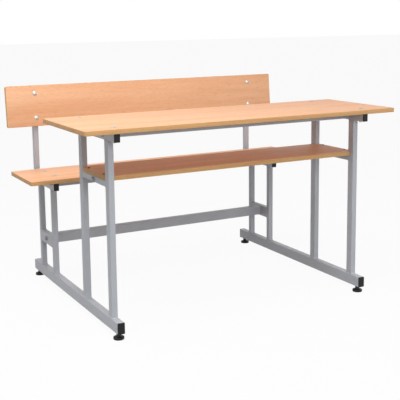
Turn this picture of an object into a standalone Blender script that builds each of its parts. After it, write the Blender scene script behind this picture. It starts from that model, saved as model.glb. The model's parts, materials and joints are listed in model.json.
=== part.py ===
"""A school desk with a bench seat and backrest on the same steel tube frame.

Units are metres, +Z is up, +X runs along the desk's width and +Y from the desk's near edge to
the backrest. The origin lies on the floor, under the middle of the box around the desk.
Lengths along Y are worked out from the near edge of the desk top, and at() moves them to the origin.
"""
import math

import bmesh
import bpy
from mathutils import Matrix, Vector

# Clearances and counts
gap = 0.0003                  # between neighbouring pieces
overrun = 0.002               # how far a cut passes its wall
merge_distance = 0.000001
round_sides = 18
bolt_sides = 12
corner_steps = 2
dome_steps = 3
smooth_angle = math.radians(35)

# Boards
desk_width = 1.200
desk_depth = 0.400
desk_height = 0.690
board_thickness = 0.015
desk_corner = 0.005
seat_depth = 0.260
seat_height = 0.442
seat_corner = 0.008
knee_space = 0.160            # between the desk top and the seat
backrest_height = 0.160
backrest_corner = 0.006
backrest_bottom = 0.608
backrest_tilt = math.radians(5.4)
shelf_top = 0.527
shelf_lap = 0.012             # shelf past the legs' facing sides, at the front and the rear
shelf_side_gap = 0.001
tab_gap = 0.002

# Side frames
side_overhang = 0.105         # desk top beyond the side frames
frame_wide = 0.020
frame_wall = 0.0012
tube_corner = 0.002
desk_leg_deep = 0.030
desk_leg_inset = 0.078
desk_leg_spread = 0.205       # clear space between the desk legs
desk_bearer_tall = 0.030
desk_bearer_inset = 0.022
seat_leg_deep = 0.020
seat_leg_inset = 0.088
seat_leg_spread = 0.127
seat_bearer_tall = 0.040
seat_bearer_inset = 0.061
shelf_rail_tall = 0.020
rung_tall = 0.045
rung_bottom = 0.159
upright_deep = 0.020
upright_behind_seat = 0.025
upright_cover = 0.010         # backrest above the top of the upright
bend_below_board = 0.008
runner_wide = 0.025
runner_tall = 0.038
runner_wall = 0.0015
runner_inset = 0.028
runner_rear_reach = 0.024     # runner behind the upright

# Long tubes between the side frames
rail_side = 0.025
rail_wall = 0.0012
desk_rail_inset = 0.102
seat_rail_inset = 0.074
shelf_beam_side = 0.0194
foot_beam_deep = 0.025
foot_beam_tall = 0.038
end_block_length = 0.016      # threaded block welded into each end

# Plastic caps
cap_head = 0.003
cap_plug = 0.010
cap_chamfer = 0.0008

# Bolts
board_bolt_head = 0.0085
board_bolt_dome = 0.0035
board_bolt_shank = 0.003
board_hole = 0.0036
board_bolt_tip = 0.009        # bolt past the upright, for its nut
beam_bolt_washer = 0.0085      # radius of the washer made in one with the head
beam_bolt_washer_thick = 0.0016
beam_bolt_flats = 0.013
beam_bolt_head_tall = 0.0053
beam_bolt_shank = 0.004
beam_hole = 0.0046
beam_bolt_bite = 0.014        # bolt inside the long tube's end
desk_bolt_front_inset = 0.050
desk_bolt_rear_inset = 0.040
seat_bolt_front_inset = 0.082
seat_bolt_rear_inset = 0.063
backrest_bolt_edge = 0.032
screw_hole = 0.0024
screw_from_leg = 0.036

# Levelling feet
foot_height = 0.022
foot_inset = 0.024
pad_radius = 0.018
pad_thick = 0.0075
pad_shoulder = 0.0015
pad_dish = 0.002
hub_radius = 0.008
hub_foot_radius = 0.0098
stud_radius = 0.004
stud_bore = 0.0043
stud_floor = 0.008            # bottom of the stud's socket above the floor
stud_top = 0.050
stud_chamfer = 0.001
collar_radius = 0.0075        # welded threaded collar inside the runner
collar_height = 0.0065

# Places that follow from the sizes
frame_x = desk_width / 2 - side_overhang - frame_wide / 2
inner_x = frame_x - frame_wide / 2
outer_x = frame_x + frame_wide / 2
desk_bottom = desk_height - board_thickness
desk_bearer_top = desk_bottom - gap
desk_bearer_bottom = desk_bearer_top - desk_bearer_tall
leg_front = desk_leg_inset
leg_rear = leg_front + desk_leg_deep + desk_leg_spread
shelf_bottom = shelf_top - board_thickness
shelf_rail_top = shelf_bottom - gap
seat_front = desk_depth + knee_space
seat_rear = seat_front + seat_depth
seat_bottom = seat_height - board_thickness
seat_bearer_top = seat_bottom - gap
seat_bearer_bottom = seat_bearer_top - seat_bearer_tall
seat_leg_front = seat_front + seat_leg_inset
seat_leg_rear = seat_leg_front + seat_leg_deep + seat_leg_spread
upright_front = seat_rear + upright_behind_seat
upright_bend = backrest_bottom - bend_below_board
upright_rise = (backrest_height - upright_cover) + bend_below_board / math.cos(backrest_tilt)
runner_top = foot_height + runner_tall
total_depth = upright_front + upright_deep + runner_rear_reach
foot_places = (("front", runner_inset + foot_inset), ("rear", total_depth - foot_inset))
foot_beam_y = (seat_leg_front + seat_leg_deep + seat_leg_rear) / 2
foot_beam_z = rung_bottom + rung_tall / 2
shelf_beam_y = (leg_front + desk_leg_deep + leg_rear) / 2
shelf_beam_z = shelf_rail_top - shelf_rail_tall / 2
desk_rail_y = desk_rail_inset + rail_side / 2
desk_rail_z = desk_bearer_top - rail_side / 2
seat_rail_y = seat_front + seat_rail_inset + rail_side / 2
seat_rail_z = seat_bearer_top - rail_side / 2
desk_bolt_places = (desk_bolt_front_inset, desk_depth - desk_bolt_rear_inset)
seat_bolt_places = (seat_front + seat_bolt_front_inset, seat_rear - seat_bolt_rear_inset)
screw_places = (leg_front + desk_leg_deep + screw_from_leg, leg_rear - screw_from_leg)
backrest_bolt_places = (("lower", backrest_bolt_edge), ("upper", backrest_height - backrest_bolt_edge))

AXIS_X = Vector((1, 0, 0))
AXIS_Y = Vector((0, 1, 0))
AXIS_Z = Vector((0, 0, 1))
SIDES = (("left", -1), ("right", 1))

for old in list(bpy.data.objects):
    bpy.data.objects.remove(old, do_unlink=True)


def material(name, colour, roughness, metallic):
    """Make a surface with one colour, roughness and metallic value."""
    made = bpy.data.materials.new(name)
    made.use_nodes = True
    shader = made.node_tree.nodes["Principled BSDF"]
    shader.inputs["Base Color"].default_value = (*colour, 1)
    shader.inputs["Roughness"].default_value = roughness
    shader.inputs["Metallic"].default_value = metallic
    made.diffuse_color = (*colour, 1)
    return made


beech = material("beech laminate", (0.85, 0.55, 0.32), 0.45, 0)
powder = material("silver powder coat", (0.38, 0.39, 0.41), 0.5, 0.3)
black_plastic = material("black plastic", (0.012, 0.012, 0.014), 0.45, 0)
bright_steel = material("zinc plated steel", (0.62, 0.62, 0.60), 0.3, 1)


def at(x, y, z):
    """The world point of a place measured from the desk's near edge."""
    return Vector((x, y - total_depth / 2, z))


def frame_of(origin, along, across):
    """A matrix at the origin whose Z runs along and whose X runs across."""
    z = along.normalized()
    x = (across - across.dot(z) * z).normalized()
    turn = Matrix((x, z.cross(x), z)).transposed()
    return Matrix.Translation(origin) @ turn.to_4x4()


def rounded(width, height, radius):
    """Points of a rectangle with round corners, anticlockwise about its middle."""
    points = []
    for turn, (sx, sy) in enumerate(((1, 1), (-1, 1), (-1, -1), (1, -1))):
        middle = Vector((sx * (width / 2 - radius), sy * (height / 2 - radius)))
        for step in range(corner_steps + 1):
            angle = math.pi / 2 * (turn + step / corner_steps)
            points.append(middle + radius * Vector((math.cos(angle), math.sin(angle))))
    return points


def inner_rounded(width, height, inset):
    """The same rectangle's points, moved inwards."""
    corner = max(tube_corner - inset, tube_corner / 4)
    return rounded(width - 2 * inset, height - 2 * inset, corner)


def ring(bm, points, z=0):
    """New vertices at the points, at one height."""
    return [bm.verts.new((p[0], p[1], z)) for p in points]


def wall(bm, low, high):
    """A band of faces between two rings of vertices."""
    for i in range(len(low)):
        bm.faces.new((low[i - 1], low[i], high[i], high[i - 1]))


def finish(name, bm, surface, place=None):
    """Turn the mesh into a named object with its surface, at its place."""
    bmesh.ops.recalc_face_normals(bm, faces=bm.faces)
    mesh = bpy.data.meshes.new(name)
    bm.to_mesh(mesh)
    bm.free()
    mesh.shade_smooth()
    mesh.set_sharp_from_angle(angle=smooth_angle)
    mesh.materials.append(surface)
    made = bpy.data.objects.new(name, mesh)
    made.matrix_world = place if place is not None else Matrix()
    bpy.context.scene.collection.objects.link(made)
    return made


def push(bm, faces, move):
    """Extrude the faces and move them."""
    new = bmesh.ops.extrude_face_region(bm, geom=faces)["geom"]
    bmesh.ops.translate(bm, verts=[g for g in new if isinstance(g, bmesh.types.BMVert)], vec=move)


def tube(name, start, end, across, width, height, thickness=frame_wall):
    """A hollow tube between two points, open at both ends, its width along the across direction."""
    bm = bmesh.new()
    outer = ring(bm, rounded(width, height, tube_corner))
    inner = ring(bm, inner_rounded(width, height, thickness))
    wall(bm, outer, inner)
    push(bm, bm.faces[:], AXIS_Z * (end - start).length)
    return finish(name, bm, powder, frame_of(start, end - start, across))


def plate(name, outline, place):
    """A board with the outline, standing on its place."""
    bm = bmesh.new()
    bm.faces.new(ring(bm, outline))
    push(bm, bm.faces[:], AXIS_Z * board_thickness)
    return finish(name, bm, beech, place)


def turned(name, profile, sides, surface, place):
    """Turn a profile of (radius, height) points, from axis to axis, round Z."""
    bm = bmesh.new()
    points = [bm.verts.new((r, 0, z)) for r, z in profile]
    edges = [bm.edges.new(pair) for pair in zip(points, points[1:])]
    bmesh.ops.spin(bm, geom=points + edges, axis=AXIS_Z, cent=Vector(), steps=sides, angle=2 * math.pi)
    bmesh.ops.remove_doubles(bm, verts=bm.verts, dist=merge_distance)
    return finish(name, bm, surface, place)


def cylinder(bm, start, run, radius):
    """Add a cylinder from a point along a direction."""
    across = AXIS_Y if abs(run.normalized().x) > abs(run.normalized().z) else AXIS_X
    middle = frame_of(start + run / 2, run, across)
    bmesh.ops.create_cone(bm, cap_ends=True, segments=bolt_sides, radius1=radius, radius2=radius,
                          depth=run.length, matrix=middle)


def boolean(target, label, operation, made):
    """Join the target with a hidden helper shape, or cut it."""
    helper = finish(target.name + label, made, target.data.materials[0])
    helper.hide_render = True
    helper.display_type = "WIRE"
    step = target.modifiers.new(label, "BOOLEAN")
    step.operation = operation
    step.solver = "EXACT"
    step.object = helper


def cut(target, holes):
    """Cut round holes, each given by a start point, a run and a radius."""
    bm = bmesh.new()
    for start, run, radius in holes:
        cylinder(bm, start, run, radius)
    boolean(target, "_holes", "DIFFERENCE", bm)


def cap(name, width, height, thickness, place):
    """A tube's cap: its head ends at the place, and its plug points into the tube along Z."""
    bm = bmesh.new()
    outline = rounded(width, height, tube_corner)
    edge = inner_rounded(width, height, cap_chamfer)
    plug = inner_rounded(width, height, thickness + gap)
    rings = [ring(bm, edge, -cap_head), ring(bm, outline, cap_chamfer - cap_head), ring(bm, outline),
             ring(bm, plug), ring(bm, plug, cap_plug)]
    for low, high in zip(rings, rings[1:]):
        wall(bm, low, high)
    bm.faces.new(rings[0])
    bm.faces.new(rings[-1])
    finish(name, bm, black_plastic, place)


def domed_bolt(name, reach, place):
    """A bolt with a domed head on the place and its shank below."""
    angles = [math.pi / 2 * i / dome_steps for i in range(1, dome_steps)]
    rise = [(board_bolt_head * math.cos(a), board_bolt_dome * math.sin(a)) for a in angles]
    profile = [(0, -reach), (board_bolt_shank, -reach), (board_bolt_shank, 0), (board_bolt_head, 0),
               *rise, (0, board_bolt_dome)]
    turned(name, profile, bolt_sides, bright_steel, place)


def circle(radius):
    """The radii of a round ring's points."""
    return [radius] * bolt_sides


def hexagon(flats):
    """The radii of a six-sided ring's points: a corner and the middle of a flat, in turn."""
    return [flats / math.sqrt(3), flats / 2] * (bolt_sides // 2)


def hexagon_bolt(name, reach, place):
    """A bolt with a washer and a six-sided head on the place and its shank below."""
    top = beam_bolt_washer_thick + beam_bolt_head_tall
    sections = ((circle(beam_bolt_shank), -reach), (circle(beam_bolt_shank), 0),
                (circle(beam_bolt_washer), 0), (circle(beam_bolt_washer), beam_bolt_washer_thick),
                (hexagon(beam_bolt_flats), beam_bolt_washer_thick), (hexagon(beam_bolt_flats), top))
    angles = [2 * math.pi * i / bolt_sides for i in range(bolt_sides)]
    bm = bmesh.new()
    rings = [ring(bm, [(r * math.cos(a), r * math.sin(a)) for r, a in zip(radii, angles)], z)
             for radii, z in sections]
    for low, high in zip(rings, rings[1:]):
        wall(bm, low, high)
    bm.faces.new(rings[0])
    bm.faces.new(rings[-1])
    finish(name, bm, bright_steel, place)


def down_through(x, y, top, depth, radius):
    """A hole down through something, from just above its top."""
    return at(x, y, top + overrun), -AXIS_Z * (depth + 2 * overrun), radius


def across_frame(x, y, z):
    """A long tube's bolt hole through a side frame's tube."""
    reach = frame_wide / 2 + overrun
    return at(x - reach, y, z), AXIS_X * 2 * reach, beam_hole


# Boards
shelf_front = leg_front + desk_leg_deep - shelf_lap
shelf_rear = leg_rear + shelf_lap
tab_front = leg_front + desk_leg_deep + tab_gap
tab_rear = leg_rear - tab_gap
shelf_middle = (shelf_front + shelf_rear) / 2
shelf_body = inner_x - shelf_side_gap
shelf_end = [(shelf_body, shelf_front), (shelf_body, tab_front), (outer_x, tab_front),
             (outer_x, tab_rear), (shelf_body, tab_rear), (shelf_body, shelf_rear)]
shelf_outline = [(x, y - shelf_middle) for x, y in shelf_end]
shelf_outline += [(-x, y) for x, y in reversed(shelf_outline)]

desk_top = plate("desk_top", rounded(desk_width, desk_depth, desk_corner),
                 Matrix.Translation(at(0, desk_depth / 2, desk_bottom)))
book_shelf = plate("book_shelf", shelf_outline, Matrix.Translation(at(0, shelf_middle, shelf_bottom)))
seat_board = plate("seat_board", rounded(desk_width, seat_depth, seat_corner),
                   Matrix.Translation(at(0, (seat_front + seat_rear) / 2, seat_bottom)))

# The upper part of each upright leans back, and the backrest lies on it
lean = Vector((0, math.sin(backrest_tilt), math.cos(backrest_tilt)))
to_sitter = Vector((0, -math.cos(backrest_tilt), math.sin(backrest_tilt)))


def on_upright(x, up):
    """A point on the leaning front face of an upright, up along it from the board's lower edge."""
    bend = at(x, upright_front, upright_bend)
    return bend + lean * (bend_below_board / math.cos(backrest_tilt) + up)


backrest = plate("backrest_board", rounded(desk_width, backrest_height, backrest_corner),
                 frame_of(on_upright(0, backrest_height / 2) + to_sitter * gap, to_sitter, AXIS_X))


def upright(name, x):
    """A tube that stands straight up to its bend and leans back above it."""
    bm = bmesh.new()
    outer = rounded(frame_wide, upright_deep, tube_corner)
    inner = inner_rounded(frame_wide, upright_deep, frame_wall)
    foot = at(x, upright_front, seat_bearer_bottom)
    bend = at(x, upright_front, upright_bend)
    mitre = Vector((0, 1, -math.tan(backrest_tilt / 2)))
    stations = ((foot, AXIS_Y), (bend, mitre), (bend + lean * upright_rise, -to_sitter))

    def station(points, origin, back):
        places = [origin + AXIS_X * p.x + back * (p.y + upright_deep / 2) for p in points]
        return [bm.verts.new(p) for p in places]

    outers = [station(outer, *s) for s in stations]
    inners = [station(inner, *s) for s in stations]
    for rings in (outers, inners):
        for low, high in zip(rings, rings[1:]):
            wall(bm, low, high)
    wall(bm, outers[0], inners[0])
    wall(bm, outers[-1], inners[-1])
    made = finish(name, bm, powder)
    passage = upright_deep + 2 * overrun
    cut(made, [(on_upright(x, up) + to_sitter * overrun, -to_sitter * passage, board_hole)
               for _, up in backrest_bolt_places])


# Side frames
desk_bearer_start = desk_bearer_inset + cap_head + gap
desk_bearer_end = desk_depth - desk_bearer_start
desk_bearer_z = desk_bearer_top - desk_bearer_tall / 2
seat_bearer_start = seat_front + seat_bearer_inset + cap_head + gap
seat_bearer_z = seat_bearer_top - seat_bearer_tall / 2
runner_z = foot_height + runner_tall / 2
runner_start = runner_inset + cap_head + gap
runner_end = total_depth - cap_head - gap


def leg(name, x, front, deep, top):
    middle = front + deep / 2
    tube(name, at(x, middle, runner_top + gap), at(x, middle, top - gap), AXIS_X, frame_wide, deep)


def lengthwise(name, x, z, start, end, width, height, thickness=frame_wall):
    return tube(name, at(x, start, z), at(x, end, z), AXIS_X, width, height, thickness)


def end_cap(name, x, y, z, inwards, width, height, thickness=frame_wall):
    cap(name, width, height, thickness, frame_of(at(x, y, z) - inwards * gap, inwards, AXIS_X))


for label, side in SIDES:
    x = side * frame_x
    runner_section = runner_wide, runner_tall, runner_wall
    runner = lengthwise("base_runner_" + label, x, runner_z, runner_start, runner_end, *runner_section)
    collars = bmesh.new()
    for _, y in foot_places:
        start = at(x, y, foot_height + runner_wall / 2)
        cylinder(collars, start, AXIS_Z * (runner_wall / 2 + collar_height), collar_radius)
    boolean(runner, "_collars", "UNION", collars)
    passage = runner_wall + collar_height
    cut(runner, [down_through(x, y, foot_height + passage, passage, stud_bore) for _, y in foot_places])
    end_cap("runner_cap_front_" + label, x, runner_start, runner_z, AXIS_Y, *runner_section)
    end_cap("runner_cap_rear_" + label, x, runner_end, runner_z, -AXIS_Y, *runner_section)

    leg("desk_leg_front_" + label, x, leg_front, desk_leg_deep, desk_bearer_bottom)
    leg("desk_leg_rear_" + label, x, leg_rear, desk_leg_deep, desk_bearer_bottom)
    leg("seat_leg_front_" + label, x, seat_leg_front, seat_leg_deep, seat_bearer_bottom)
    leg("seat_leg_rear_" + label, x, seat_leg_rear, seat_leg_deep, seat_bearer_bottom)

    bearer = lengthwise("desk_bearer_" + label, x, desk_bearer_z, desk_bearer_start, desk_bearer_end,
                        frame_wide, desk_bearer_tall)
    holes = [down_through(x, y, desk_bearer_top, desk_bearer_tall, board_hole) for y in desk_bolt_places]
    cut(bearer, [*holes, across_frame(x, desk_rail_y, desk_rail_z)])
    for end, y, inwards in (("front", desk_bearer_start, AXIS_Y), ("rear", desk_bearer_end, -AXIS_Y)):
        end_cap("desk_bearer_cap_%s_%s" % (end, label), x, y, desk_bearer_z, inwards,
                frame_wide, desk_bearer_tall)

    bearer = lengthwise("seat_bearer_" + label, x, seat_bearer_z, seat_bearer_start, upright_front - gap,
                        frame_wide, seat_bearer_tall)
    holes = [down_through(x, y, seat_bearer_top, seat_bearer_tall, board_hole) for y in seat_bolt_places]
    cut(bearer, [*holes, across_frame(x, seat_rail_y, seat_rail_z)])
    end_cap("seat_bearer_cap_" + label, x, seat_bearer_start, seat_bearer_z, AXIS_Y,
            frame_wide, seat_bearer_tall)

    rail = lengthwise("shelf_rail_" + label, x, shelf_beam_z, leg_front + desk_leg_deep + gap,
                      leg_rear - gap, frame_wide, shelf_rail_tall)
    holes = [down_through(x, y, shelf_rail_top, frame_wall, screw_hole) for y in screw_places]
    cut(rail, [*holes, across_frame(x, shelf_beam_y, shelf_beam_z)])
    rung = lengthwise("foot_rung_" + label, x, foot_beam_z, seat_leg_front + seat_leg_deep + gap,
                      seat_leg_rear - gap, frame_wide, rung_tall)
    cut(rung, [across_frame(x, foot_beam_y, foot_beam_z)])
    upright("backrest_upright_" + label, x)

# Holes in the boards
both = [side * frame_x for _, side in SIDES]
for board, top, radius, places in ((desk_top, desk_height, board_hole, desk_bolt_places),
                                   (seat_board, seat_height, board_hole, seat_bolt_places),
                                   (book_shelf, shelf_top, screw_hole, screw_places)):
    cut(board, [down_through(x, y, top, board_thickness, radius) for x in both for y in places])
passage = board_thickness + 2 * overrun
cut(backrest, [(on_upright(x, up) - to_sitter * overrun, to_sitter * passage, board_hole)
               for x in both for _, up in backrest_bolt_places])

# Long tubes, each with a threaded block welded into both ends and a bolt from outside
beams = (("desk_rail", desk_rail_y, desk_rail_z, rail_side, rail_side),
         ("seat_rail", seat_rail_y, seat_rail_z, rail_side, rail_side),
         ("shelf_beam", shelf_beam_y, shelf_beam_z, shelf_beam_side, shelf_beam_side),
         ("foot_beam", foot_beam_y, foot_beam_z, foot_beam_deep, foot_beam_tall))

for name, y, z, deep, tall in beams:
    reach = inner_x - gap
    beam = tube(name, at(-reach, y, z), at(reach, y, z), AXIS_Y, deep, tall, rail_wall)
    blocks = bmesh.new()
    for _, side in SIDES:
        middle = at(side * (reach - end_block_length / 2), y, z)
        size = Vector((end_block_length, deep - rail_wall, tall - rail_wall))
        place = Matrix.Translation(middle) @ Matrix.Diagonal(size).to_4x4()
        bmesh.ops.create_cube(blocks, size=1, matrix=place)
    boolean(beam, "_end_blocks", "UNION", blocks)
    bore = end_block_length + 2 * overrun
    cut(beam, [(at(side * (reach + overrun), y, z), -side * AXIS_X * bore, beam_bolt_shank + gap)
               for _, side in SIDES])
    for label, side in SIDES:
        place = frame_of(at(side * (outer_x + gap), y, z), side * AXIS_X, AXIS_Y)
        hexagon_bolt("%s_bolt_%s" % (name, label), frame_wide + beam_bolt_bite, place)

# Bolts of the backrest
for label, side in SIDES:
    for height, up in backrest_bolt_places:
        head = on_upright(side * frame_x, up) + to_sitter * (board_thickness + 2 * gap)
        reach = board_thickness + upright_deep + board_bolt_tip
        domed_bolt("backrest_bolt_%s_%s" % (height, label), reach, frame_of(head, to_sitter, AXIS_X))

# Levelling feet: a pad on the floor and the threaded stud that stands in it
hub_top = foot_height - gap
pad_profile = [(0, 0), (pad_radius - pad_shoulder, 0), (pad_radius, pad_shoulder), (pad_radius, pad_thick),
               (pad_radius - pad_shoulder, pad_thick + pad_shoulder / 2),
               (hub_foot_radius, pad_thick + pad_dish), (hub_radius, pad_thick + 2 * pad_dish),
               (hub_radius, hub_top), (stud_bore, hub_top), (stud_bore, stud_floor), (0, stud_floor)]
stud_profile = [(0, stud_floor + gap), (stud_radius, stud_floor + gap),
                (stud_radius, stud_top - stud_chamfer), (stud_radius - stud_chamfer, stud_top), (0, stud_top)]
for label, side in SIDES:
    for end, y in foot_places:
        place = Matrix.Translation(at(side * frame_x, y, 0))
        turned("foot_pad_%s_%s" % (end, label), pad_profile, round_sides, black_plastic, place)
        turned("foot_stud_%s_%s" % (end, label), stud_profile, round_sides, bright_steel, place)
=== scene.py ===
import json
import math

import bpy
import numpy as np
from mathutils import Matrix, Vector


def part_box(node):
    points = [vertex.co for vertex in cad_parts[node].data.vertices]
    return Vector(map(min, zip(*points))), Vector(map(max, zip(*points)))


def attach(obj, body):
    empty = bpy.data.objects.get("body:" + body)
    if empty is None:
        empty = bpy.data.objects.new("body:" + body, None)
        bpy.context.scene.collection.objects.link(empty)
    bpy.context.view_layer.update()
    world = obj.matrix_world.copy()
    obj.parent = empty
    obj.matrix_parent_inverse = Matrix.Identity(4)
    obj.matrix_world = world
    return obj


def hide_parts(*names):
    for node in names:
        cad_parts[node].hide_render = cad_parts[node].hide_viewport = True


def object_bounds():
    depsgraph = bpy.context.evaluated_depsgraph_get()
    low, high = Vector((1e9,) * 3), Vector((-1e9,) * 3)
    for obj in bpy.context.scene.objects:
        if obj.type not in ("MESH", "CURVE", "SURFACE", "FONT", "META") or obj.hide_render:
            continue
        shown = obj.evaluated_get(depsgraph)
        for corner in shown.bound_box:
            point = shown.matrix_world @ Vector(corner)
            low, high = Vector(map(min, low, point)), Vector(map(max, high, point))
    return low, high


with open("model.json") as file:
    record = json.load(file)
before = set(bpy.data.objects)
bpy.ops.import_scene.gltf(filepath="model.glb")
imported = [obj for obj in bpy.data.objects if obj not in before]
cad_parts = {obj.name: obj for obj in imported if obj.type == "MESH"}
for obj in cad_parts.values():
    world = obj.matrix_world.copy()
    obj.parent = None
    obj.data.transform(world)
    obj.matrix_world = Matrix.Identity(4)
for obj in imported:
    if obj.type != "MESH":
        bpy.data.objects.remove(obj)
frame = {"nodes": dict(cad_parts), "record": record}

# %% [markdown]
# # A two-seat school desk
#
# The desk is a welded frame of steel tube with four laminated boards screwed to it. The frame and
# the boards are already loaded as measured solids. This lesson adds what the solids leave out: the
# edge strips of the boards, the screws, bolts and nuts, the weld beads, the threads of the feet,
# and the finish of every surface.
#
# Such small pieces could be pushed into shape by hand. Here they are written as numpy functions of
# two numbers, so that a whole surface is one array, its formula can be read, and it takes its size
# and place from the solids.

cad_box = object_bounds()
MM = 0.001
TURN = 2 * math.pi
UP, DOWN = (0, 0, 1), (0, 0, -1)
SIDES = (("left", -1), ("right", 1))
print("box of the solids:", [[round(v, 4) for v in corner] for corner in cad_box])


def sides_of(node):
    """The lowest and highest corner of a node, as arrays."""
    low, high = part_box(node)
    return np.array(low), np.array(high)


# %% [markdown]
# ## From an array to a mesh
#
# A surface is kept as a grid of points: each row is a ring that closes on itself, and the rows
# follow each other along the piece. The rows can close too, as on a nut with a bore. Where they
# don't, the first and the last ring each get one flat face, so that no end stays open.
#
# Blender could find the outside of a mesh by recalculating its normals. The volume is quicker and
# surer: it is negative where the faces point inwards, and then they are turned round.

# %% Grid to mesh


def volume(points, faces):
    """Six times a closed surface's volume: a . (b x c), summed over the triangles of its faces."""
    fans = np.array([(f[0], f[i], f[i + 1]) for f in faces for i in range(1, len(f) - 1)])
    a, b, c = points[fans.T]
    return float(np.sum(a * np.cross(b, c)))


def solid_of(grid, wrap_rows=False):
    """Points and faces of one closed body: a face joins a point to its next column and next row."""
    rows, columns, _ = grid.shape
    r = np.arange(rows if wrap_rows else rows - 1)[:, None]
    c = np.arange(columns)[None, :]
    r2, c2 = (r + 1) % rows, (c + 1) % columns
    quads = [r * columns + c, r * columns + c2, r2 * columns + c2, r2 * columns + c]
    faces = [tuple(quad) for quad in np.stack(quads, axis=-1).reshape(-1, 4).tolist()]
    if not wrap_rows:
        faces.append(tuple(range(columns - 1, -1, -1)))
        faces.append(tuple(range((rows - 1) * columns, rows * columns)))
    points = grid.reshape(-1, 3)
    if volume(points, faces) < 0:
        faces = [face[::-1] for face in faces]
    return points, faces


cube = solid_of(np.array([[(0, 0, z), (1, 0, z), (1, 1, z), (0, 1, z)] for z in (0.0, 1.0)]))
print("a cube from two rings has", len(cube[1]), "faces and the volume", volume(*cube) / 6)

# %% [markdown]
# A finished mesh becomes an object that rides on one of the desk's moving bodies. Where it shows a
# solid's true form, it stands for that solid, and the solid isn't drawn.

# %% Mesh to object


def add(name, data):
    """Put a mesh, a lamp or a camera into the scene as an object."""
    made = bpy.data.objects.new(name, data)
    bpy.context.scene.collection.objects.link(made)
    return made


def piece(name, bodies, finish, body="frame", stands_for=(), sharp=40, uv=None):
    """Make one object of closed bodies. Edges that turn by more than sharp degrees stay sharp."""
    points, faces, start = [], [], 0
    for body_points, body_faces in bodies:
        points.append(body_points)
        faces += [tuple(i + start for i in face) for face in body_faces]
        start += len(body_points)
    mesh = bpy.data.meshes.new(name)
    mesh.from_pydata(np.concatenate(points).tolist(), [], faces)
    mesh.shade_smooth()
    mesh.set_sharp_from_angle(angle=math.radians(sharp))
    if uv is not None:
        layer = mesh.uv_layers.new(name="along")
        loops = np.empty(len(mesh.loops), dtype=np.int32)
        mesh.loops.foreach_get("vertex_index", loops)
        layer.data.foreach_set("uv", uv[loops].astype(np.float32).ravel())
    mesh.materials.append(finish)
    made = add(name, mesh)
    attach(made, body)
    if stands_for:
        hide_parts(*stands_for)
    print("%-34s %6d faces" % (name, len(faces)))


# %% [markdown]
# ## Sums of sockets
#
# A pattern such as wood grain is a sum of many small nodes. They could be laid out one by one, but
# an expression is easier to read, so a small class stands for a socket and makes a Math node for
# each operator.

# %% Socket sums


class Wire:
    """A number socket that can stand in a sum."""

    def __init__(self, nodes, socket):
        self.nodes, self.socket = nodes, socket

    def maths(self, operation, *values, clamp=False):
        """A Math node of these values, of which at least one is a wire."""
        return self.nodes.node("ShaderNodeMath", {"operation": operation, "use_clamp": clamp},
                               dict(enumerate(values)))

    def __add__(self, other):
        return self.maths("ADD", self, other)

    def __rsub__(self, other):
        return self.maths("SUBTRACT", other, self)

    def __mul__(self, other):
        return self.maths("MULTIPLY", self, other)

    def at_most_one(self, other):
        """The sum of two numbers, held between 0 and 1."""
        return self.maths("ADD", self, other, clamp=True)

    def smooth(self, low, high):
        """0 below low, 1 above high, and a soft step between them."""
        return self.nodes.node("ShaderNodeMapRange", {"interpolation_type": "SMOOTHSTEP"},
                               {"Value": self, "From Min": low, "From Max": high})

    __radd__ = __add__


# %% [markdown]
# A material and the world each own a tree of nodes. One method makes every node from its type, its
# settings and its inputs. Light Path tells apart the rays that show a surface from those that
# light it, so that a white room can look bright without lighting the desk more.

# %% Node trees


class Nodes:
    """A node tree, of a material or of the world, whose nodes are made by one method."""

    def __init__(self, owner):
        owner.use_nodes = True
        self.tree = owner.node_tree

    def node(self, kind, settings=None, inputs=None, output=0):
        """Make a node, give it its settings and inputs, and return one of its outputs."""
        made = self.tree.nodes.new(kind)
        for key, value in (settings or {}).items():
            setattr(made, key, value)
        for key, value in (inputs or {}).items():
            self.put(made.inputs[key], value)
        return Wire(self, made.outputs[output])

    def put(self, socket, value):
        """Link a wire to a socket, or write a plain value on it."""
        if isinstance(value, Wire):
            self.tree.links.new(value.socket, socket)
        else:
            socket.default_value = value

    def seen(self):
        """1 for a ray from the camera, a glossy surface or a clear one, and 0 for the rest."""
        camera, glossy, through = [self.node("ShaderNodeLightPath", output="Is %s Ray" % ray)
                                   for ray in ("Camera", "Glossy", "Transmission")]
        return camera.at_most_one(glossy).at_most_one(through)


# %% [markdown]
# A finish is a material: the shader, and the place of each point on the object, in metres. Colours
# are written as they look on a screen, and the shader takes them as amounts of light.

# %% Finishes


class Finish(Nodes):
    """A material with its shader and the place of each point on the object."""

    def __init__(self, name):
        self.material = bpy.data.materials.new(name)
        super().__init__(self.material)
        self.shader = self.tree.nodes["Principled BSDF"]
        self.place = self.node("ShaderNodeTexCoord", output="Object")

    def noise(self, waves, source=None, shift=(0, 0, 0), detail=2.0, roughness=0.5):
        """Noise with about so many waves a metre, the same each way or a number for each axis."""
        waves = waves if isinstance(waves, tuple) else (waves, waves, waves)
        place = self.node("ShaderNodeMapping", None, {"Vector": source or self.place,
                                                      "Scale": waves, "Location": shift})
        return self.node("ShaderNodeTexNoise", None, {"Vector": place, "Scale": 1.0,
                                                      "Detail": detail, "Roughness": roughness})

    def mix(self, factor, a, b):
        """One colour turning to another."""
        return self.node("ShaderNodeMix", {"data_type": "RGBA"}, {0: factor, 6: a, 7: b}, output=2)

    def surface(self, bump, strength, distance, **sockets):
        """Set the shader's sockets by name, and a bump that is distance high where it is 1."""
        for name, value in sockets.items():
            self.put(self.shader.inputs[name.replace("_", " ")], value)
        normal = self.node("ShaderNodeBump", None, {"Height": bump, "Strength": strength,
                                                    "Distance": distance})
        self.put(self.shader.inputs["Normal"], normal)
        return self.material


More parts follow.
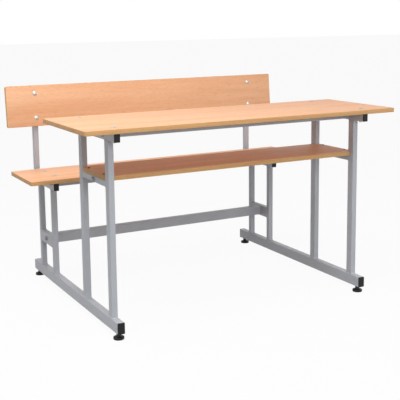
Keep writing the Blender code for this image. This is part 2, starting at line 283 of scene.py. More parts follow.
def colour(red, green, blue):
    """A screen's colour as linear light, from three numbers up to 255. Each is divided by 255,
    and that c becomes c / 12.92 up to 0.04045, and ((c + 0.055) / 1.055) ** 2.4 above it."""
    c = np.array([red, green, blue]) / 255
    linear = np.where(c <= 0.04045, c / 12.92, ((c + 0.055) / 1.055) ** 2.4)
    return (*[float(v) for v in linear], 1.0)


print("the screen's middle grey is", round(colour(128, 128, 128)[0], 3), "of white's light")

# %% [markdown]
# ## Beech laminate
#
# The boards are particle board under a printed beech paper. Beech is pale and pinkish, with soft
# bands along the board and thousands of short dark flecks, a few millimetres long and a few
# tenths wide. A picture of beech could be laid over the boards, but it would repeat, and a close
# view would show its pixels. So both come from noise that is stretched along the board. The paper
# has a faint sheen, and the flecks are pressed in by about two hundredths of a millimetre.

# %% Laminate


def beech(name, pale, deep, fleck, source=None, bands=(1.3, 21.0, 21.0), fine=(55.0, 620.0, 620.0),
          roughness=0.5, shine=0.45):
    """Soft bands along X, with clouds in them, and short and long flecks over them."""
    f = Finish(name)
    if source is not None:
        source = f.node("ShaderNodeUVMap", {"uv_map": source})
    broad = f.noise(bands, source, detail=3.0, roughness=0.55)
    clouds = f.noise(tuple(waves * 3.1 for waves in bands), source, shift=(4.2, 1.7, 0.3))
    grain = (broad * 0.65 + clouds * 0.35).smooth(0.33, 0.68)
    short = f.noise(fine, source, detail=1.0, roughness=0.4)
    long = f.noise((fine[0] * 0.3, fine[1] * 0.7, fine[2] * 0.7), source, shift=(2.0, 0.6, 0.9),
                   detail=1.0)
    flecks = short.smooth(0.58, 0.70) * 0.75 + long.smooth(0.60, 0.74) * 0.45
    printed = f.mix(flecks * 0.55, f.mix(grain, pale, deep), fleck)
    return f.surface(bump=flecks * -1.0 + grain * 0.2, strength=0.08, distance=0.2 * MM,
                     Base_Color=printed, Roughness=roughness + flecks * 0.12,
                     Specular_IOR_Level=shine)


laminate = beech("beech_laminate_finish", pale=colour(245, 190, 147), deep=colour(236, 173, 129),
                 fleck=colour(207, 139, 98))
edge_finish = beech("beech_edge_strip", pale=colour(234, 185, 129), deep=colour(220, 167, 111),
                    fleck=colour(183, 129, 79), source="along", bands=(2.0, 60.0, 1.0),
                    fine=(60.0, 900.0, 1.0), roughness=0.45, shine=0.2)
print("laminate nodes:", len(laminate.node_tree.nodes))

# %% [markdown]
# ## Powder coat
#
# Powder coat melts on the tube and sets with a very fine orange peel. The silver grade has a
# little metallic flake in it, under a skin of clear resin. One even grey would do from far off,
# but the coat would look like paper in a close view. So the shader makes it slightly metallic and
# dull, with a slow drift in roughness, and lays a thin and smoother coat over it. It is scuffed a
# little near the floor, where shoes and brooms touch it.

# %% Powder coat


def powder_coat(scuff_low=20 * MM, scuff_high=130 * MM):
    """Flake, slow drift and orange peel, with grey scuffs that fade out between two heights."""
    f = Finish("silver_powder_coat_finish")
    peel = f.noise(900.0, roughness=0.6)
    flake = f.noise(4200.0, detail=1.0)
    drift = f.noise((9.0, 9.0, 4.0))
    height = f.node("ShaderNodeSeparateXYZ", None, {"Vector": f.place}, output=2)
    marks = f.noise((160.0, 34.0, 90.0), detail=3.0, roughness=0.7)
    scuffs = marks.smooth(0.60, 0.72) * (1 - height.smooth(scuff_low, scuff_high))
    tone = f.mix(flake.smooth(0.35, 0.65), colour(188, 191, 198), colour(206, 210, 217))
    tone = f.mix(drift * 0.35, tone, colour(176, 180, 187))
    tone = f.mix(scuffs * 0.45, tone, colour(146, 146, 146))
    return f.surface(bump=peel + flake * 0.2, strength=0.12, distance=0.2 * MM, Base_Color=tone,
                     Roughness=0.45 + drift * 0.12 + scuffs * 0.2, Metallic=0.1,
                     Coat_Weight=0.25, Coat_Roughness=0.15)


powder = powder_coat()
print("powder coat nodes:", len(powder.node_tree.nodes))

# %% [markdown]
# ## Plastic and plated steel
#
# The caps and feet are moulded black plastic with a spark-eroded grain. Zinc plating is bright
# and slightly mottled on the domed heads and duller on the six-sided ones, and the small screws
# have a black chromate over it. Each could be built on its own, but one function makes both
# plastics and one makes the three platings, because only their numbers change.

# %% Plastic and plating


def moulded(name, dark, pale, roughness, grain=1600.0):
    """A fine grain, and paler patches where hands and shoes have rubbed it."""
    f = Finish(name)
    spark = f.noise(grain, roughness=0.7)
    worn = f.noise(70.0, detail=3.0).smooth(0.5, 0.75)
    tone = f.mix(worn * 0.6 + spark * 0.2, dark, pale)
    return f.surface(bump=spark, strength=0.25, distance=0.2 * MM, Base_Color=tone,
                     Roughness=roughness + worn * 0.12, Specular_IOR_Level=0.35)


def plated(name, dark, pale, roughness, metallic):
    """Mottled plating: the pale patches are the rougher ones."""
    f = Finish(name)
    mottle = f.noise(260.0, detail=4.0, roughness=0.65)
    fine = f.noise(2200.0, detail=1.0)
    tone = f.mix(mottle.smooth(0.3, 0.7), dark, pale)
    return f.surface(bump=fine, strength=0.06, distance=0.1 * MM, Base_Color=tone,
                     Roughness=roughness + mottle * 0.14, Metallic=metallic)


cap_finish = moulded("black_cap_plastic", colour(9, 9, 11), colour(22, 22, 25), 0.45)
foot_finish = moulded("black_foot_plastic", colour(7, 7, 8), colour(26, 26, 28), 0.5, grain=1100.0)
zinc = plated("zinc_plating", colour(178, 177, 172), colour(202, 201, 196), 0.36, 1.0)
dull_zinc = plated("dull_zinc_plating", colour(134, 138, 141), colour(158, 161, 164), 0.42, 0.8)
black_zinc = plated("black_chromate_plating", colour(44, 44, 46), colour(66, 66, 68), 0.32, 0.9)
print("plastic nodes:", len(cap_finish.node_tree.nodes))
print("plating nodes:", len(zinc.node_tree.nodes))

# %% [markdown]
# The solids that keep their own shape only need a finish: the tubes get the powder coat and the
# end caps get the plastic. The record names the material of each solid, so no list is typed here.

# %% Dress the solids
finishes = {"silver_powder_coat": powder, "black_plastic": cap_finish, "zinc_steel": zinc,
            "black_steel": black_zinc, "beech_laminate": laminate}
slots = {part["node"]: part["material_slot"] for part in frame["record"]["subparts"]}
for node, made in frame["nodes"].items():
    made.data.materials.clear()
    made.data.materials.append(finishes[slots[node]])
print("dressed", len(frame["nodes"]), "solids")

# %% [markdown]
# ## Outlines of the boards
#
# Each board is a core with a strip glued round its edge, so both follow the same outline. A Bevel
# modifier could round its corners, but the strip also needs a map along the edge, and an outline
# gives both. A corner is rounded with a short arc. Moving the outline inwards by a distance needs,
# at each point, the direction that keeps both neighbouring sides parallel to themselves: the mitre.

# %% Outline


def unit(vectors):
    """Each row divided by its length."""
    return vectors / np.linalg.norm(vectors, axis=1, keepdims=True)


def outline(corners, radius, steps=8):
    """Round each corner of a polygon: an arc touches both sides, radius / tan(half angle) away."""
    corners = np.array(corners, float)
    before = unit(np.roll(corners, 1, axis=0) - corners)
    after = unit(np.roll(corners, -1, axis=0) - corners)
    half = np.arccos(np.clip(np.sum(before * after, axis=1), -1, 1)) / 2
    middle = corners + unit(before + after) * (radius / np.sin(half))[:, None]
    reach = (radius / np.tan(half))[:, None]
    first = (corners + before * reach - middle)[:, None, :]
    last = (corners + after * reach - middle)[:, None, :]
    t = np.linspace(0, 1, steps + 1)[None, :, None]
    sweep = (np.pi - 2 * half)[:, None, None]
    arc = (np.sin((1 - t) * sweep) * first + np.sin(t * sweep) * last) / np.sin(sweep)
    return (middle[:, None, :] + arc).reshape(-1, 2)


def mitres(points):
    """Outward directions of an anticlockwise outline, long enough to keep its sides parallel."""
    side = unit(np.roll(points, -1, axis=0) - points)
    normal = np.stack([side[:, 1], -side[:, 0]], axis=1)
    previous = np.roll(normal, 1, axis=0)
    both = normal + previous
    return both / np.sum(both * previous, axis=1, keepdims=True)


def rings_along(points, profile):
    """Carry a profile of (outwards, up) round an outline: one ring of points for each step."""
    out, up = np.array(profile, float).T
    flat = points[None, :, :] + out[:, None, None] * mitres(points)[None, :, :]
    return np.concatenate([flat, np.broadcast_to(up[:, None, None], (*flat.shape[:2], 1))], axis=2)


def rectangle(low, high):
    """Four corners, anticlockwise from the lowest."""
    return [(low[0], low[1]), (high[0], low[1]), (high[0], high[1]), (low[0], high[1])]


print("a rounded rectangle has", len(outline(rectangle((0, 0), (1, 1)), 0.1)), "points")

# %% [markdown]
# The core stops a line of glue short of the strip, with its own corners just broken. The strip
# stands flush with both faces, with a small radius along its two long edges, as a trimming machine
# leaves it. A Bevel modifier could round these edges, but it would round the glued ones too.

# %% Sections of core and strip
STRIP = 1.0 * MM          # thickness of the strip
ARRIS = 0.7 * MM          # radius of the strip's long edges
GLUE = 0.02 * MM          # the line of glue
BREAK = 0.1 * MM          # from the strip to the core's flat face


def core_profile(thickness):
    """The core's side, with a small chamfer at both faces."""
    side = -STRIP - GLUE
    return [(-STRIP - BREAK, 0.0), (side, GLUE), (side, thickness - GLUE),
            (-STRIP - BREAK, thickness)]


def strip_profile(thickness, steps=4):
    """The strip's section: a quarter circle at each outer edge."""
    a = np.linspace(0, math.pi / 2, steps + 1)
    low = np.stack([-ARRIS + ARRIS * np.sin(a), ARRIS - ARRIS * np.cos(a)], axis=1)
    high = np.stack([-ARRIS + ARRIS * np.cos(a), thickness - ARRIS + ARRIS * np.sin(a)], axis=1)
    inner = np.array([(-STRIP, thickness), (-STRIP, 0.0)])
    return np.concatenate([low, high, inner])


print("points in a strip's section:", len(strip_profile(15 * MM)))

# %% [markdown]
# The grain of the strip runs along it and turns the corners, which the place on the object can't
# follow. So the strip gets its own map: length along the edge, and height. The desk top and the
# seat lie level, so their outline is simply the box of their solid.

# %% Desk top and seat


def placed(points, place):
    """Take points from a piece's own axes to its place."""
    m = np.array(place)
    return points @ m[:3, :3].T + m[:3, 3]


def banded_board(node, corners, radius, place, thickness):
    """A board's core and strip, taken from its outline to its place in the desk."""
    path, profile = outline(corners, radius), strip_profile(thickness)
    core = placed(rings_along(path, core_profile(thickness)), place)
    strip = placed(rings_along(path, profile), place)
    step = np.linalg.norm(path - np.roll(path, 1, axis=0), axis=1)
    length = np.cumsum(step) - step[0]
    height = np.cumsum(np.r_[0, np.linalg.norm(np.diff(profile, axis=0), axis=1)])
    uv = np.stack(np.broadcast_arrays(length[None, :], height[:, None]), axis=-1).reshape(-1, 2)
    piece(node + "_core", [solid_of(core)], laminate, stands_for=[node])
    piece(node + "_edge_strip", [solid_of(strip, wrap_rows=True)], edge_finish,
          uv=uv)


def flat_board(node, radius):
    """A level board, whose outline is the box of its node."""
    low, high = sides_of(node)
    place = Matrix.Translation((0, 0, low[2]))
    banded_board(node, rectangle(low, high), radius, place, high[2] - low[2])


flat_board("desk_top", radius=5 * MM)
flat_board("seat_board", radius=8 * MM)

# %% [markdown]
# The shelf is cut out at its four corners, so that a tab at each end reaches between the legs and
# rests on the side rail. It could be cut with a Boolean modifier. Its outline has only twelve
# corners, though, so they are written down, read from the legs that it clears.

# %% Shelf
LEG_GAP = 1 * MM          # from the shelf to the legs' inner faces
TAB_GAP = 2 * MM          # from a tab to the legs in front of it and behind it
shelf_low, shelf_high = sides_of("book_shelf")
leg_low, leg_high = sides_of("desk_leg_front_right")
body_end = leg_low[0] - LEG_GAP
tab_front = leg_high[1] + TAB_GAP
tab_rear = sides_of("desk_leg_rear_right")[0][1] - TAB_GAP
right_end = [(body_end, shelf_low[1]), (body_end, tab_front), (shelf_high[0], tab_front),
             (shelf_high[0], tab_rear), (body_end, tab_rear), (body_end, shelf_high[1])]
shelf_corners = right_end + [(-x, y) for x, y in reversed(right_end)]
banded_board("book_shelf", shelf_corners, 2 * MM, Matrix.Translation((0, 0, shelf_low[2])),
             shelf_high[2] - shelf_low[2])

# %% [markdown]
# The backrest leans back with the upper part of its uprights. A turned object would export at the
# wrong place, so its points are turned instead. Its place is found from the node's own box: the
# board is 15 mm thick, 160 mm high and leans by 5.4 degrees, and these three numbers have to give
# the height of the box that was measured.

# %% Backrest
BACK_TILT = math.radians(5.4)
BACK_THICK, BACK_HIGH = 15 * MM, 160 * MM
back_low, back_high = sides_of("backrest_board")
to_sitter = Vector((0, -math.cos(BACK_TILT), math.sin(BACK_TILT)))
up_board = Vector((0, math.sin(BACK_TILT), math.cos(BACK_TILT)))
rear_foot = Vector((0, back_low[1] + BACK_THICK * math.cos(BACK_TILT), back_low[2]))
print("backrest box height", round(back_high[2] - back_low[2], 4), "from its sizes",
      round(BACK_HIGH * math.cos(BACK_TILT) + BACK_THICK * math.sin(BACK_TILT), 4))
lean = Matrix((Vector((1, 0, 0)), up_board, to_sitter)).transposed().to_4x4()
banded_board("backrest_board", rectangle((back_low[0], 0), (back_high[0], BACK_HIGH)), 6 * MM,
             Matrix.Translation(rear_foot) @ lean, BACK_THICK)

# %% [markdown]
# ## Bolts, nuts and screws
#
# The small steel pieces are round or six-sided about an axis. The Screw modifier could turn their
# profiles, but here a profile is carried round the axis as an array, because a ring's radius and
# height may then change on its way round, as they do on a six-sided head.

# %% Turned pieces


def around(count):
    """The angles of a full turn, without the last one, which is the first again."""
    return np.linspace(0, TURN, count, endpoint=False)


def lathe(rows, t, place, wrap_rows=False):
    """Rings of (radius, height), numbers or arrays over t: x = r cos t, y = r sin t, z = h."""
    r, h = [np.stack([np.broadcast_to(row[k], t.shape) for row in rows]) for k in (0, 1)]
    grid = np.stack([r * np.cos(t), r * np.sin(t), h], axis=-1)
    return solid_of(placed(grid, place), wrap_rows)


def facing(origin, along):
    """A place whose Z points along a direction."""
    along = Vector(along).normalized()
    across = Vector((1, 0, 0)) if abs(along.x) < 0.9 else Vector((0, 1, 0))
    x = (across - across.dot(along) * along).normalized()
    turn = Matrix((x, along.cross(x), along)).transposed().to_4x4()
    return Matrix.Translation(Vector(origin)) @ turn


print("a round disc has", len(lathe([(1, 0), (1, 1)], around(12), Matrix())[1]), "faces")

# %% [markdown]
# The boards are held by mushroom-head bolts: a shallow dome on a short rim. A sphere cut off low
# would do too, but a curve that falls with the square of the radius needs only its height.

# %% Mushroom bolt
CHAMFER = 0.6 * MM        # at the end of a shank
EDGE = 0.3 * MM           # at the rim of a head, a washer or a flange


def stem(shank, length):
    """A shank under a head, from its chamfered end up to 0."""
    return [(shank - CHAMFER, -length), (shank, -length + CHAMFER), (shank, 0.0)]


def mushroom_bolt(place, length, radius=8.5 * MM, rim=0.8 * MM, rise=2.7 * MM, shank=3 * MM):
    """A rim, then a cap whose height falls with the square of the radius."""
    r = radius * np.cos(np.linspace(0, 0.47 * math.pi, 9))
    cap = np.maximum(rim + rise * (1 - (r / radius) ** 2), rim)
    head = [(radius - EDGE, 0.0), (radius, EDGE)] + list(zip(r, cap))
    return lathe(stem(shank, length) + head, around(40), place)


print("a mushroom bolt has", len(mushroom_bolt(Matrix(), 30 * MM)[0]), "points")

# %% [markdown]
# The long tubes are held by six-sided bolts with a washer under the head. A forged head is cut by
# a cone at its top, so its corners end lower than its flats. A Boolean modifier could cut it, but
# the last ring of the side can as well follow the cone. The nuts stand on a round flange.

# %% Six-sided nut and bolt


def hexagon(t, across):
    """From the middle to a six-sided outline: half its width over the cosine from a flat."""
    off = (t + math.pi / 6) % (math.pi / 3) - math.pi / 6
    return across / 2 / np.cos(off)


def flange_nut(place, across=10 * MM, flange=7 * MM, bore=3.2 * MM, height=6 * MM):
    """A six-sided nut on a round flange, with its bore: rings that close on themselves."""
    t = around(72)
    hexa = hexagon(t, across)
    worn = np.minimum(hexa, across / 2 * 1.09)
    foot = np.minimum(hexa + 0.6 * MM, flange)
    return lathe([(bore, 0.0), (flange - EDGE, 0.0), (flange, EDGE), (flange, 0.9 * MM),
                  (foot, 1.4 * MM), (hexa, 2.1 * MM), (hexa, height - 0.7 * MM), (worn, height),
                  (bore + 0.5 * MM, height), (bore, height - 0.4 * MM)], t, place, wrap_rows=True)


def hexagon_bolt(place, length, across=13 * MM, washer=8.5 * MM, thick=1.6 * MM, tall=5.3 * MM,
                 shank=4 * MM):
    """Six-sided rings on a washer; a side ends at top - (distance - face radius) * tan 30."""
    t = around(72)
    hexa = hexagon(t + math.pi / 6, across)
    face, top = across * 0.475, thick + tall
    cone = top - (hexa - face) * math.tan(math.pi / 6)
    return lathe(stem(shank, length) + [
        (washer - EDGE, 0.0), (washer, EDGE), (washer, thick - EDGE), (washer - EDGE, thick),
        (hexa + 0.15 * MM, thick), (hexa, thick + EDGE), (hexa, cone), (face, top),
        (face * 0.9, top)], t, place)


print("a flange nut has", len(flange_nut(Matrix())[0]), "points and a six-sided bolt",
      len(hexagon_bolt(Matrix(), 30 * MM)[0]))

# %% [markdown]
# The shelf is held by screws with a low round head and a cross in it. Instead of cutting the
# cross out, the rings of the head sink where they pass over its arms, so the head stays one
# closed surface.

# %% Pan-head screw


def pan_head_screw(place, length, radius=4.8 * MM, rise=2 * MM, shank=2 * MM, point=3 * MM):
    """A low round head, whose cross is where r |sin t| or r |cos t| is small near the middle."""
    t = around(48)
    r = np.array([1.0, 0.93, 0.8, 0.62, 0.5, 0.4, 0.3, 0.2, 0.1])[:, None] * radius
    off_arm = np.minimum(np.abs(r * np.sin(t)), np.abs(r * np.cos(t)))
    arms = np.clip((0.55 * MM - off_arm) / (0.25 * MM), 0, 1)
    reach = np.clip((0.58 * radius - r) / (0.08 * radius), 0, 1)
    top = rise * (1 - (r / radius) ** 3 * 0.75) - arms * reach * 1.2 * MM
    side = [(shank * 0.3, -length), (shank, -length + point), (shank, 0.0),
            (radius - 0.2 * MM, 0.0), (radius, EDGE)]
    return lathe(side + list(zip(r, top)), t, place)


print("a pan-head screw has", len(pan_head_screw(Matrix(), 20 * MM)[0]), "points")

# %% [markdown]
# Each bolt goes where its hole is. The desk's and the seat's bolts go down through the board and
# the tube that bears it, and their nuts sit under the tube. The backrest's bolts are square to
# the leaning board. Bolts that share a finish are one object, because nothing moves between them.

# %% Bolts of the boards
near_edge = cad_box[0][1]
FRAME_X = 485 * MM        # middle of a side frame, from the middle of the desk
TUBE = 20 * MM            # width of the bearers and the uprights
GAP = 0.3 * MM            # between a tube and what lies on it
HEAD_GAP = 0.1 * MM       # under a head and over a nut
PAST_NUT = 5 * MM         # a bolt's end under its tube
LOW_NUT = 4.2 * MM        # height of the nuts under the boards
DESK_BOLTS = (50 * MM, 360 * MM)      # back from the near edge
SEAT_BOLTS = (642 * MM, 757 * MM)
bolts, nuts = [], []
for board, bearer, places in (("desk_top", "desk_bearer_left", DESK_BOLTS),
                              ("seat_board", "seat_bearer_left", SEAT_BOLTS)):
    top = sides_of(board)[1][2]
    under = sides_of(bearer)[0][2]
    for x in (-FRAME_X, FRAME_X):
        for y in places:
            head = facing((x, near_edge + y, top + HEAD_GAP), UP)
            foot = facing((x, near_edge + y, under - HEAD_GAP), DOWN)
            bolts.append(mushroom_bolt(head, top - under + PAST_NUT))
            nuts.append(flange_nut(foot, height=LOW_NUT))
piece("board_bolts", bolts, zinc)

# %% [markdown]
# The backrest's bolts are nodes of their own, so each turned bolt stands for its node. Their nuts
# are higher than those under the boards, and all nuts together are one object.

# %% Bolts of the backrest
BACK_BOLTS = (("lower", 32 * MM), ("upper", 128 * MM))      # up the board from its lower edge
BACK_BOLT = 43.5 * MM     # length under the head
BACK_GAPS = 0.7 * MM      # between the board, the upright and the nut
for label, side in SIDES:
    for height, up in BACK_BOLTS:
        node = "backrest_bolt_%s_%s" % (height, label)
        head = (rear_foot + Vector((side * FRAME_X, 0, 0)) + up_board * up
                + to_sitter * (BACK_THICK + HEAD_GAP))
        piece(node + "_turned", [mushroom_bolt(facing(head, to_sitter), BACK_BOLT)], zinc,
              stands_for=[node])
        back = head - to_sitter * (BACK_THICK + TUBE + BACK_GAPS)
        nuts.append(flange_nut(facing(back, -to_sitter)))
piece("board_nuts", nuts, zinc)

# %% [markdown]
# Each long tube has a threaded block in its ends, and a bolt comes through the side frame into it.
# The shelf's four screws go down through its tabs.

# %% Bolts of the long tubes and screws of the shelf
FRAME_OUT = 495 * MM      # outer face of a side frame
WASHER_GAP = 0.2 * MM
BEAM_BOLT = 34 * MM       # length under the head
SHELF_SCREWS = (144 * MM, 277 * MM)   # back from the near edge
SHELF_SCREW = 22 * MM
for beam in ("desk_rail", "seat_rail", "shelf_beam", "foot_beam"):
    low, high = sides_of(beam)
    middle = (low + high) / 2
    for label, side in SIDES:
        node = "%s_bolt_%s" % (beam, label)
        head = (side * (FRAME_OUT + WASHER_GAP), middle[1], middle[2])
        piece(node + "_forged", [hexagon_bolt(facing(head, (side, 0, 0)), BEAM_BOLT)], dull_zinc,
              stands_for=[node])

screws = []
for x in (-FRAME_X, FRAME_X):
    for y in SHELF_SCREWS:
        head = facing((x, near_edge + y, shelf_high[2] + HEAD_GAP), UP)
        screws.append(pan_head_screw(head, SHELF_SCREW))
piece("shelf_screws", screws, black_zinc)

# %% [markdown]
# ## Weld beads
#
# Where two tubes meet, a bead of melted metal fills the corner and is then coated with the rest. A
# bump on the tube could stand in for it, but the corner would still show a dark line from the
# side. So a bead is a surface of two numbers, the length along the joint and the way round its
# section. The section is a hollow fillet from one wall to the other, or a low crown where both
# walls are flush. It rises and falls about every 1.6 mm, where the welder paused, and is drawn in
# to nothing at both ends.

# %% Weld bead
BEAD_ROW = 0.4 * MM       # between two rings of a bead
BEAD_FADE = 2.2 * MM      # how far a bead takes to reach its full size
BEAD_LEAN = 0.25 * MM     # how far its scales lean along the joint


def fillet(a, b):
    """In a corner: (a cos v + b sin v) over a quarter turn, hollowed by 0.8 + 0.2 cos 4v."""
    v = np.linspace(0, math.pi / 2, 6)[:, None]
    arch = (np.cos(v) * a + np.sin(v) * b) * (0.80 + 0.20 * np.cos(4 * v))
    return np.concatenate([arch, [-0.12 * (a + b)]])


def crown(along, out):
    """Over a flush seam: half an ellipse, as wide as along and 0.28 times as high as out."""
    v = np.linspace(0, math.pi, 9)[:, None]
    return np.concatenate([np.cos(v) * along + np.sin(v) * out * 0.28, [-0.12 * out]])


def bead(start, end, wall_a, wall_b, size=2.6 * MM, pause=1.6 * MM, section=fillet):
    """The joint's line + size * scale * section, whose scale ripples and fades at the ends."""
    start, end = np.array(start, float), np.array(end, float)
    a, b = np.array(wall_a, float), np.array(wall_b, float)
    length = np.linalg.norm(end - start)
    along = np.linspace(0, 1, max(int(length / BEAD_ROW), 12)) * length
    fade = np.clip(np.minimum(along, length - along) / BEAD_FADE, 0.04, 1) ** 0.5
    wave = np.sin(math.pi * along / pause)
    scale = (size * fade * (1 + 0.10 * np.abs(wave)))[:, None, None]
    lean = (BEAD_LEAN * wave)[:, None, None] * (end - start) / length
    line = (start + np.outer(along / length, end - start))[:, None, :]
    return solid_of(line + scale * section(a, b)[None] + lean)


print("20 mm of bead have", len(bead((0, 0, 0), (20 * MM, 0, 0), (0, 1, 0), UP)[1]), "faces")

# %% [markdown]
# Each leg is welded to its runner all round and to its bearer at the front and rear. A rail
# between two legs is welded in the corners below it, and a rung also above it. Where a tube ends
# against the side of another one of the same width, a low seam runs over the joint on both sides.
# All beads of a side frame are one object, because it is coated in one go.

# %% Beads of the side frames
REARWARD, FORWARD = (0, 1, 0), (0, -1, 0)
BEND_BEAD = 0.9 * MM      # on the seat's bearer, in front of the upright


def end_beads(low, high, z, up):
    """Beads along the front and rear of a tube that stands on another one or hangs from it."""
    return [bead((low[0], low[1], z), (high[0], low[1], z), FORWARD, up),
            bead((low[0], high[1], z), (high[0], high[1], z), REARWARD, up)]


def side_beads(low, high, z, up, size=2.0 * MM):
    """Smaller beads along its left and its right side."""
    return [bead((low[0], low[1], z), (low[0], high[1], z), (-1, 0, 0), up, size),
            bead((high[0], low[1], z), (high[0], high[1], z), (1, 0, 0), up, size)]


def rail_beads(low, high, z, up):
    """Beads in the corners where a rail's two ends meet the legs."""
    return [bead((low[0], low[1], z), (high[0], low[1], z), REARWARD, up),
            bead((low[0], high[1], z), (high[0], high[1], z), FORWARD, up)]


def flush_seams(low, high, ends, sink=0.05 * MM, size=2.2 * MM):
    """Beads down both side faces of a tube, where its ends meet a tube of the same width."""
    return [bead((x, y, low[2]), (x, y, high[2]), REARWARD, (out, 0, 0), size, section=crown)
            for x, out in ((low[0] + sink, -1), (high[0] - sink, 1)) for y in ends]


for label, _ in SIDES:
    beads = []
    for leg in ("desk_leg_front_", "desk_leg_rear_", "seat_leg_front_", "seat_leg_rear_"):
        low, high = sides_of(leg + label)
        beads += end_beads(low, high, low[2], UP) + side_beads(low, high, low[2], UP)
        beads += end_beads(low, high, high[2], DOWN)
    for rail in ("shelf_rail_", "foot_rung_"):
        low, high = sides_of(rail + label)
        beads += rail_beads(low, high, low[2], DOWN)
        if rail == "foot_rung_":
            beads += rail_beads(low, high, high[2], UP)
        beads += flush_seams(low, high, (low[1] - GAP / 2, high[1] + GAP / 2))
    low, high = sides_of("seat_bearer_" + label)
    beads += flush_seams(low, high, (high[1] + GAP / 2,))
    beads.append(bead((low[0], high[1], high[2]), high, FORWARD, UP, BEND_BEAD))
    piece("weld_beads_" + label, beads, powder, sharp=60)

# %% [markdown]
# ## Caps of the uprights
#
# The two backrest uprights are open at the top and bottom. Each end has a square push-in cap with
# a slightly pillowed head: its height falls to the edge with the fourth power of the distance. It
# is carried round an outline, as the boards are, so that its corners are round like the tube's.

# %% Upright caps


def pillow_cap(place, width=TUBE, head=2.4 * MM, corner=2 * MM, plug=9 * MM, wall=1.2 * MM,
               slack=0.2 * MM):
    """Rings from the end of the plug to the crown: head * (0.55 + 0.45 * (1 - (1 - k) ** 4))."""
    path = outline(rectangle((-width / 2, -width / 2), (width / 2, width / 2)), corner, steps=5)
    inner = -(wall + slack)
    steps = [(inner, -plug), (inner, HEAD_GAP), (0.0, HEAD_GAP), (0.0, head * 0.55)]
    steps += [(-corner * k, head * (0.55 + 0.45 * (1 - (1 - k) ** 4)))
              for k in (0.2, 0.4, 0.65, 0.9)]
    return solid_of(placed(rings_along(path, steps), place))


END_DROP = 10 * MM        # an upright's end under the top of the backrest
caps = []
for label, side in SIDES:
    low, _ = sides_of("backrest_upright_" + label)
    foot = Vector((side * FRAME_X, low[1] + TUBE / 2, low[2]))
    caps.append(pillow_cap(facing(foot, DOWN)))
    rise = Vector((side * FRAME_X, 0, 0)) + rear_foot + up_board * (BACK_HIGH - END_DROP)
    caps.append(pillow_cap(facing(rise - to_sitter * (TUBE / 2 + GAP), up_board)))
piece("upright_caps", caps, cap_finish)

# %% [markdown]
# ## Levelling feet
#
# A foot is a disc moulded on a hub, with a threaded stud in it. A thread could be a helix carried
# up by the Screw modifier, but its ends would be hard to close. Here it is a surface whose radius
# depends on how far the height is ahead of the turn: one full wave for each 1.25 mm of height,
# which shifts by one wave in each turn. The stud turns, and the pad only rises and falls, so each
# rides on its own body.

# %% Feet
PITCH = 1.25 * MM
RUN_OUT = 0.9 * MM        # where the thread fades, at both ends of the stud
END_IN = 0.7 * MM         # how much smaller the radius is there
PAD_STEPS = [(7.0, 0.9), (14.0, 0.9), (14.4, 0.0), (17.0, 0.0), (17.8, 0.5), (18.0, 1.3),
             (18.0, 6.6), (17.6, 7.6), (16.6, 8.2), (12.0, 9.2), (9.9, 10.0), (8.5, 11.2),
             (8.0, 13.0), (8.0, 20.6), (7.5, 21.6), (4.35, 21.6), (4.35, 8.0)]
pad_profile = [(r * MM, h * MM) for r, h in PAD_STEPS]


def thread(place, bottom, top, radius=4 * MM, depth=0.68 * MM):
    """r = radius - depth * w, where w is a flattened wave of height / pitch - turn."""
    t = around(32)
    z = np.linspace(bottom, top, int((top - bottom) / PITCH * 8) + 1)[:, None]
    wave = np.abs(((z / PITCH - t / TURN) % 1.0) * 2 - 1)
    ends = np.clip(np.minimum(z - bottom, top - z) / RUN_OUT, 0, 1)
    r = radius - depth * np.clip(wave * 1.3 - 0.15, 0, 1) * 0.9 - END_IN * (1 - ends)
    return lathe(list(zip(r, z)), t, place)


for label, _ in SIDES:
    for end in ("front", "rear"):
        where = "_%s_%s" % (end, label)
        pad, stud = "foot_pad" + where, "foot_stud" + where
        low, high = sides_of(stud)
        place = Matrix.Translation(((low[0] + high[0]) / 2, (low[1] + high[1]) / 2, 0))
        piece(pad + "_moulded", [lathe(pad_profile, around(64), place)], foot_finish,
              body="foot" + where, stands_for=[pad], sharp=50)
        piece(stud + "_threaded", [thread(place, low[2], high[2])], zinc,
              body="stud" + where, stands_for=[stud], sharp=60)

# %% [markdown]
# ## Floor, light and camera
#
# The photograph has a plain white background. More light could make the floor white, but it would
# wash out the desk too. So the floor is matt and shows the desk's shadow softly, and it glows for
# the camera and in reflections only, as the world behind it does.

# %% Stage
FLOOR = 30                # half its width, in metres
FLOOR_Z = -0.5 * MM
WHITE = (1, 1, 1, 1)
sheet = bpy.data.meshes.new("floor")
sheet.from_pydata([(x, y, FLOOR_Z) for x, y in rectangle((-FLOOR, -FLOOR), (FLOOR, FLOOR))], [],
                  [(0, 1, 2, 3)])
floor = add("floor", sheet)
paper = Finish("white_floor")
paper.tree.nodes.remove(paper.shader)
matt = paper.node("ShaderNodeBsdfDiffuse", None, {"Color": (0.45, 0.45, 0.45, 1)})
glow = paper.node("ShaderNodeEmission", None, {"Color": WHITE, "Strength": 1.05})
both = paper.node("ShaderNodeMixShader", None, {0: paper.seen() * 0.9, 1: matt, 2: glow})
paper.put(paper.tree.nodes["Material Output"].inputs["Surface"], both)
floor.data.materials.append(paper.material)

world = bpy.data.worlds.new("white_room")
bpy.context.scene.world = world
room = Nodes(world)
soft = room.node("ShaderNodeBackground", None, {"Color": WHITE, "Strength": 0.13})
white = room.node("ShaderNodeBackground", None, {"Color": WHITE, "Strength": 1.0})
choose = room.node("ShaderNodeMixShader", None, {0: room.seen(), 1: soft, 2: white})
room.put(room.tree.nodes["World Output"].inputs["Surface"], choose)
print("floor nodes:", len(paper.tree.nodes), "world nodes:", len(room.tree.nodes))

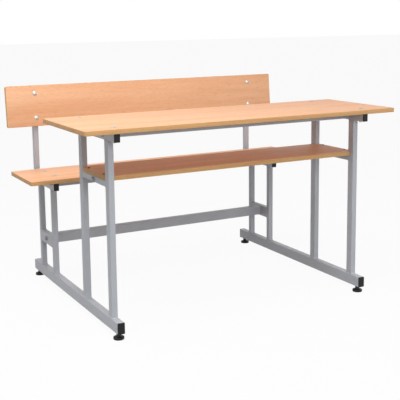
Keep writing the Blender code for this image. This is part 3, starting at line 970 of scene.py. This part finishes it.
# %% [markdown]
# A large soft box hangs above and a little in front on the left, so the tops are brightest and the
# shelf lies in shade. A weaker one shines in low from the front, onto the legs and the long tube
# behind them, and a third fills from the right. A small one over the near end of the seat lifts
# the part of it that the desk top keeps from the front light. Wide lamps are chosen over a sun,
# because their shadows have the soft edges of a studio's.

# %% Lights


def soft_box(name, spot, target, size, power):
    """A rectangular lamp of a size in metres and a power in watts, turned to its target."""
    light = bpy.data.lights.new(name, "AREA")
    light.shape = "RECTANGLE"
    light.size, light.size_y = size
    light.energy = power
    made = add(name, light)
    made.location = spot
    made.rotation_euler = (Vector(target) - Vector(spot)).to_track_quat("-Z", "Y").to_euler()
    print("%-10s %4d W" % (name, power))


soft_box("key_box", (-1.0, -1.0, 3.1), (0, 0.1, 0.45), (2.4, 2.2), 76)
soft_box("front_box", (-0.4, -4.0, 1.9), (0, 0.2, 0.4), (1.4, 1.4), 42)
soft_box("fill_box", (2.3, -1.6, 1.4), (0, 0.2, 0.4), (1.6, 1.6), 9)
soft_box("seat_box", (-0.9, 0.35, 1.6), (-0.5, 0.3, 0.44), (0.8, 0.8), 4)

# %% [markdown]
# The camera was found by matching the edges of the boards and legs to the photograph: where it
# stands, the way it looks, a slight roll, and its focal length in pixels of a 400-pixel frame.
# Turning it by hand would take many tries, and these numbers repeat the view exactly. The lens is
# shifted a little, so that the camera can look more level and keep the legs upright.

# %% Camera
FOCAL, AZIMUTH, TILT, ROLL = 859.7, 0.4923, 0.1555, 0.0110
CAMERA_SPOT = (-1.5024, -2.8589, 1.0315)
PIXELS, SENSOR = 400, 36
CENTRE_X, CENTRE_Y = 200.0, 150.0         # the pixel that the camera looks straight at
forward = Vector((math.sin(AZIMUTH) * math.cos(TILT), math.cos(AZIMUTH) * math.cos(TILT),
                  -math.sin(TILT)))
right = Vector((math.cos(AZIMUTH), -math.sin(AZIMUTH), 0))
down = forward.cross(right)
image_right = math.cos(ROLL) * right + math.sin(ROLL) * down
image_down = math.cos(ROLL) * down - math.sin(ROLL) * right
lens = bpy.data.cameras.new("camera")
lens.sensor_width = SENSOR
lens.lens = FOCAL * SENSOR / PIXELS
lens.shift_x = (PIXELS / 2 - CENTRE_X) / PIXELS
lens.shift_y = (CENTRE_Y - PIXELS / 2) / PIXELS
lens.clip_end = 100
camera = add("camera", lens)
camera.matrix_world = Matrix.Translation(CAMERA_SPOT) @ Matrix(
    (image_right, -image_down, -forward)).transposed().to_4x4()
bpy.context.scene.camera = camera
bpy.context.scene.view_settings.view_transform = "Standard"
print("focal length", round(lens.lens, 2), "mm, shift", lens.shift_x, round(lens.shift_y, 3))
